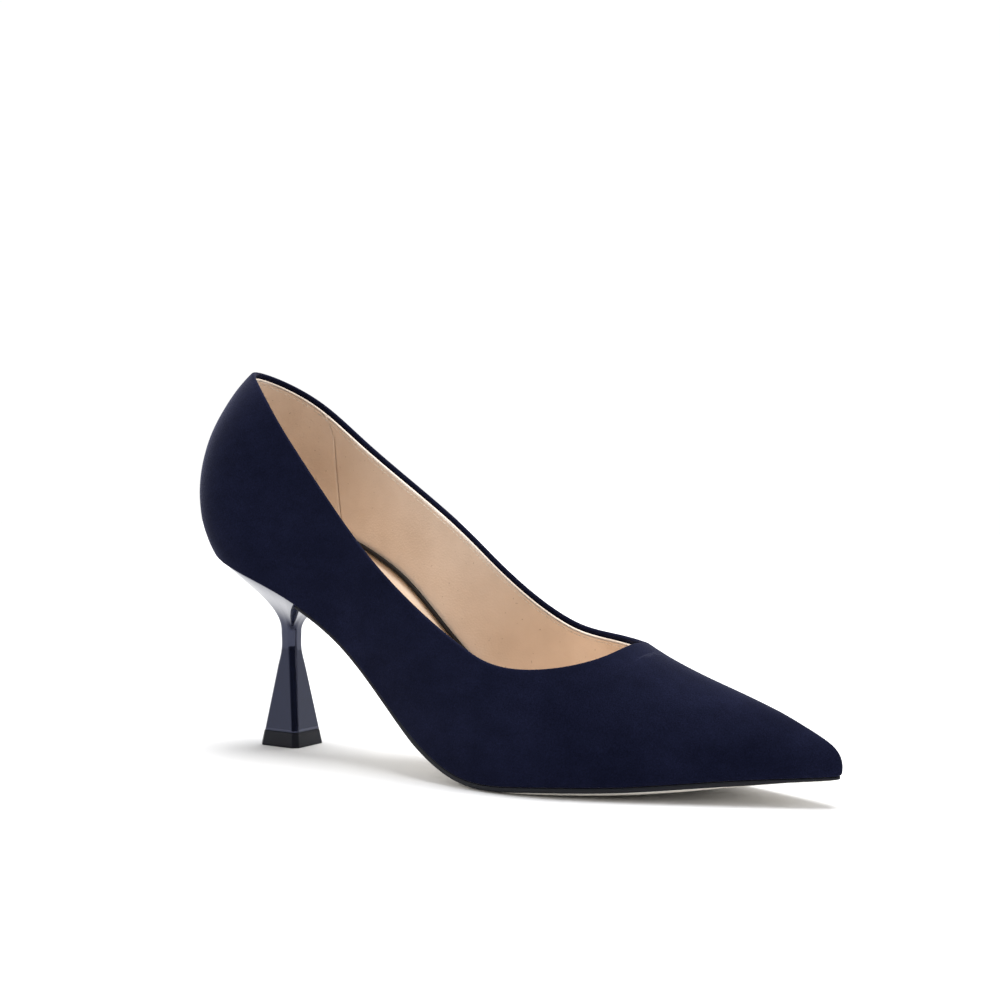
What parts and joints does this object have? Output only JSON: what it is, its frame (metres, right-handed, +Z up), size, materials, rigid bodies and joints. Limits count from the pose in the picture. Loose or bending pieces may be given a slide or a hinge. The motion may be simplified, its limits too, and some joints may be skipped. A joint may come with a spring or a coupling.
{
  "type": "high heel pump",
  "caption": "Right-foot pointed-toe pump with a closed suede upper, leather lining, leather sole and a waisted faceted high heel on a square top piece.",
  "frame": {"origin": "centre of the heel top piece's ground face, so the floor is Z = 0", "axes": "+X along the shoe to the toe, +Y to the inner side of the foot, +Z up"},
  "size_m": [0.2556, 0.0724, 0.1324],
  "materials": {
    "suede": "navy suede nap",
    "lining_leather": "nude semi-matt leather",
    "sock_leather": "pale cream smooth leather",
    "dark_binding": "dark brown bound edge",
    "stiffener": "off-white thermoplastic sheet",
    "tape": "white woven tape",
    "fibre_board": "brown pressed cellulose board",
    "cork": "granular cork filler",
    "foam": "cream latex foam",
    "steel": "plain steel",
    "sole_leather": "pale leather with a black painted edge",
    "heel_lacquer": "glossy navy lacquer",
    "top_piece_rubber": "dark satin polyurethane"
  },
  "bodies": {
    "root": {"suede_upper": "suede", "vamp_lining": "lining_leather", "heel_grip_lining": "lining_leather", "toe_puff": "stiffener", "heel_counter": "stiffener", "topline_tape": "tape", "insole_board": "fibre_board", "shank": "steel", "shank_rivet_rear": "steel", "shank_rivet_front": "steel", "forepart_filler": "cork", "heel_cushion_pad": "foam", "forefoot_cushion_pad": "foam", "sock_lining": "sock_leather", "sock_edge_binding": "dark_binding", "outsole": "sole_leather", "heel": "heel_lacquer", "heel_pin": "steel", "top_piece": "top_piece_rubber", "top_piece_dowel": "steel", "heel_screw": "steel", "heel_nail_1": "steel", "heel_nail_2": "steel", "heel_nail_3": "steel", "heel_nail_4": "steel"}
  },
  "joints": []
}
